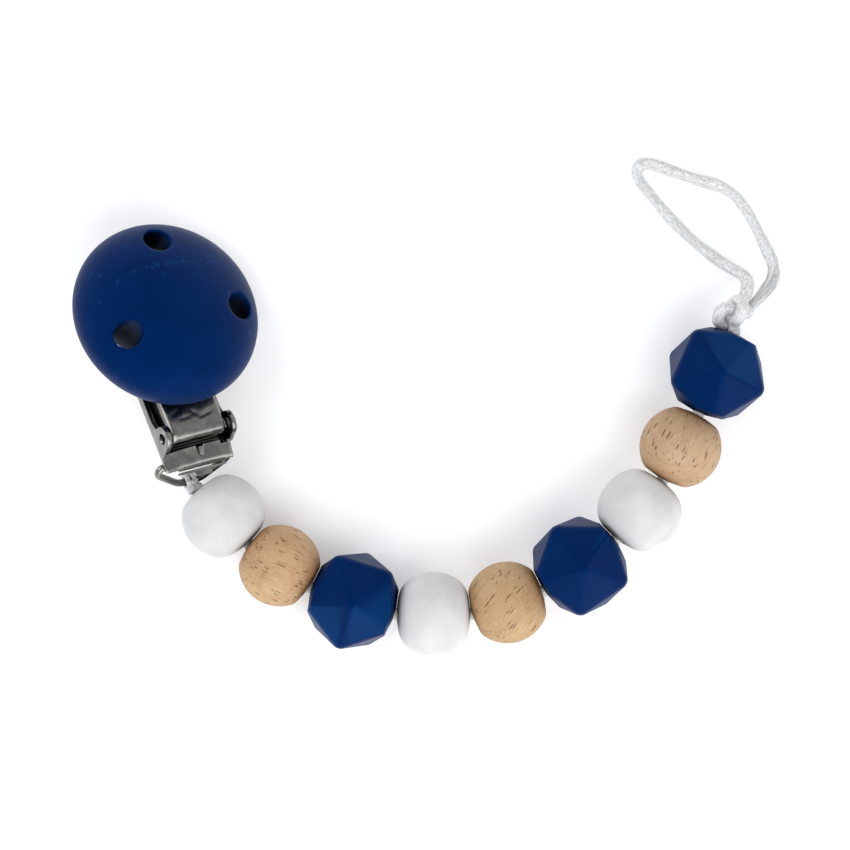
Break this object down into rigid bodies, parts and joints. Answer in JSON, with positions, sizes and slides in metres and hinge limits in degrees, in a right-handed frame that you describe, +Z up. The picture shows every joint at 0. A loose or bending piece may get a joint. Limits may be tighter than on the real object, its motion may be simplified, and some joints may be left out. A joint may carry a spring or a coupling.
{
  "type": "pacifier clip",
  "caption": "Beaded pacifier strap: cam-lever fabric clip under a domed silicone disc, round and faceted beads on a cord, and a cord loop for the pacifier.",
  "frame": {"origin": "bottom centre of the box of everything but the free cord loop, on the surface that the strap lies on", "axes": "+Z up from that surface; +X along the chord of the bead arc, from the clip to the loop end; +Y from the middle of the arc towards the clip and the loop"},
  "size_m": [0.1283, 0.0915, 0.0261],
  "materials": {
    "navy_silicone": "matt moulded silicone, navy blue",
    "white_silicone": "matt moulded silicone, white",
    "beech": "sanded untreated beech",
    "plated_steel": "stamped sheet steel, nickel plated",
    "spring_steel": "spring steel sheet, nickel plated",
    "wire_steel": "bent steel wire, nickel plated",
    "rivet_steel": "bright steel",
    "core_plastic": "moulded plastic",
    "pad_plastic": "moulded plastic, ridged",
    "cord_satin": "satin polyester cord, white"
  },
  "bodies": {
    "base": {"base_frame": "plated_steel"},
    "lever": {"lever": "plated_steel", "disc_core": "core_plastic", "disc_cover": "navy_silicone", "disc_rivets": "rivet_steel"},
    "jaw": {"jaw_plate": "spring_steel", "jaw_pad": "pad_plastic"},
    "ring": {"wire_ring": "wire_steel"},
    "hitch": {"cord_hitch": "cord_satin"},
    "span_1": {"cord_span_1": "cord_satin"},
    "bead_1": {"bead_1_white": "white_silicone"},
    "span_2": {"cord_span_2": "cord_satin"},
    "bead_2": {"bead_2_wood": "beech"},
    "span_3": {"cord_span_3": "cord_satin"},
    "bead_3": {"bead_3_faceted": "navy_silicone"},
    "span_4": {"cord_span_4": "cord_satin"},
    "bead_4": {"bead_4_white": "white_silicone"},
    "span_5": {"cord_span_5": "cord_satin"},
    "bead_5": {"bead_5_wood": "beech"},
    "span_6": {"cord_span_6": "cord_satin"},
    "bead_6": {"bead_6_faceted": "navy_silicone"},
    "span_7": {"cord_span_7": "cord_satin"},
    "bead_7": {"bead_7_white": "white_silicone"},
    "span_8": {"cord_span_8": "cord_satin"},
    "bead_8": {"bead_8_wood": "beech"},
    "span_9": {"cord_span_9": "cord_satin"},
    "bead_9": {"bead_9_faceted": "navy_silicone"},
    "knot": {"end_knot": "cord_satin", "end_loop": "cord_satin"}
  },
  "joints": [
    {"name": "lever_open", "type": "hinge", "parent": "base", "child": "lever", "pos_m": [-0.04057, 0.0017, 0.01376], "axis": [0.8355, 0.226, -0.5009], "range_deg": [0, 80]},
    {"name": "jaw_open", "type": "hinge", "parent": "base", "child": "jaw", "pos_m": [-0.04125, -0.00075, 0.01151], "axis": [0.8355, 0.226, -0.5009], "range_deg": [0, 7]},
    {"name": "ring_swing", "type": "hinge", "parent": "base", "child": "ring", "pos_m": [-0.0401, -0.00331, 0.01228], "axis": [0.8355, 0.226, -0.5009], "range_deg": [-20, 15]},
    {"name": "hitch_swing", "type": "hinge", "parent": "ring", "child": "hitch", "pos_m": [-0.04248, -0.00747, 0.00882], "axis": [0.8355, 0.226, -0.5009], "range_deg": [-8, 8]},
    {"name": "cord_bend_1", "type": "hinge", "parent": "hitch", "child": "span_1", "pos_m": [-0.04083, -0.00877, 0.00882], "axis": [0, 0, 1], "range_deg": [-3, 8]},
    {"name": "bead_spin_1", "type": "hinge", "parent": "span_1", "child": "bead_1", "pos_m": [-0.03621, -0.01389, 0.00876], "axis": [0.6691, -0.7431, -0.0084], "continuous": true},
    {"name": "cord_bend_2", "type": "hinge", "parent": "span_1", "child": "span_2", "pos_m": [-0.0316, -0.01902, 0.0087], "axis": [0, 0, 1], "range_deg": [-31.3, 4.3]},
    {"name": "bead_spin_2", "type": "hinge", "parent": "span_2", "child": "bead_2", "pos_m": [-0.02592, -0.02292, 0.00905], "axis": [0.8231, -0.5657, 0.0507], "continuous": true},
    {"name": "cord_bend_3", "type": "hinge", "parent": "span_2", "child": "span_3", "pos_m": [-0.02024, -0.02683, 0.0094], "axis": [0, 0, 1], "range_deg": [-34.8, 0.8]},
    {"name": "bead_spin_3", "type": "hinge", "parent": "span_3", "child": "bead_3", "pos_m": [-0.01251, -0.02926, 0.0094], "axis": [0.9537, -0.3007, 0], "continuous": true},
    {"name": "cord_bend_4", "type": "hinge", "parent": "span_3", "child": "span_4", "pos_m": [-0.00479, -0.0317, 0.0094], "axis": [0, 0, 1], "range_deg": [-35.3, 0.3]},
    {"name": "bead_spin_4", "type": "hinge", "parent": "span_4", "child": "bead_4", "pos_m": [0.0021, -0.0317, 0.00905], "axis": [0.9987, 0, -0.0507], "continuous": true},
    {"name": "cord_bend_5", "type": "hinge", "parent": "span_4", "child": "span_5", "pos_m": [0.00899, -0.0317, 0.0087], "axis": [0, 0, 1], "range_deg": [-35.3, 0.3]},
    {"name": "bead_spin_5", "type": "hinge", "parent": "span_5", "child": "bead_5", "pos_m": [0.01557, -0.02963, 0.00905], "axis": [0.9525, 0.3003, 0.0507], "continuous": true},
    {"name": "cord_bend_6", "type": "hinge", "parent": "span_5", "child": "span_6", "pos_m": [0.02214, -0.02755, 0.0094], "axis": [0, 0, 1], "range_deg": [-35.3, 0.3]},
    {"name": "bead_spin_6", "type": "hinge", "parent": "span_6", "child": "bead_6", "pos_m": [0.02877, -0.02291, 0.0094], "axis": [0.8192, 0.5736, 0], "continuous": true},
    {"name": "cord_bend_7", "type": "hinge", "parent": "span_6", "child": "span_7", "pos_m": [0.03541, -0.01826, 0.0094], "axis": [0, 0, 1], "range_deg": [-34.8, 0.8]},
    {"name": "bead_spin_7", "type": "hinge", "parent": "span_7", "child": "bead_7", "pos_m": [0.03965, -0.01283, 0.00905], "axis": [0.6149, 0.787, -0.0507], "continuous": true},
    {"name": "cord_bend_8", "type": "hinge", "parent": "span_7", "child": "span_8", "pos_m": [0.04389, -0.0074, 0.0087], "axis": [0, 0, 1], "range_deg": [-27.8, 7.8]},
    {"name": "bead_spin_8", "type": "hinge", "parent": "span_8", "child": "bead_8", "pos_m": [0.04713, -0.00132, 0.00905], "axis": [0.4689, 0.8818, 0.0507], "continuous": true},
    {"name": "cord_bend_9", "type": "hinge", "parent": "span_8", "child": "span_9", "pos_m": [0.05036, 0.00477, 0.0094], "axis": [0, 0, 1], "range_deg": [-21.8, 13.8]},
    {"name": "bead_spin_9", "type": "hinge", "parent": "span_9", "child": "bead_9", "pos_m": [0.05366, 0.01217, 0.0094], "axis": [0.4067, 0.9135, 0], "continuous": true},
    {"name": "knot_bend", "type": "hinge", "parent": "span_9", "child": "knot", "pos_m": [0.05695, 0.01957, 0.0094], "axis": [0, 0, 1], "range_deg": [-8, 4]}
  ],
  "couplings": [
    {"joint": "jaw_open", "follows": "lever_open", "ratio": 0.0875}
  ]
}
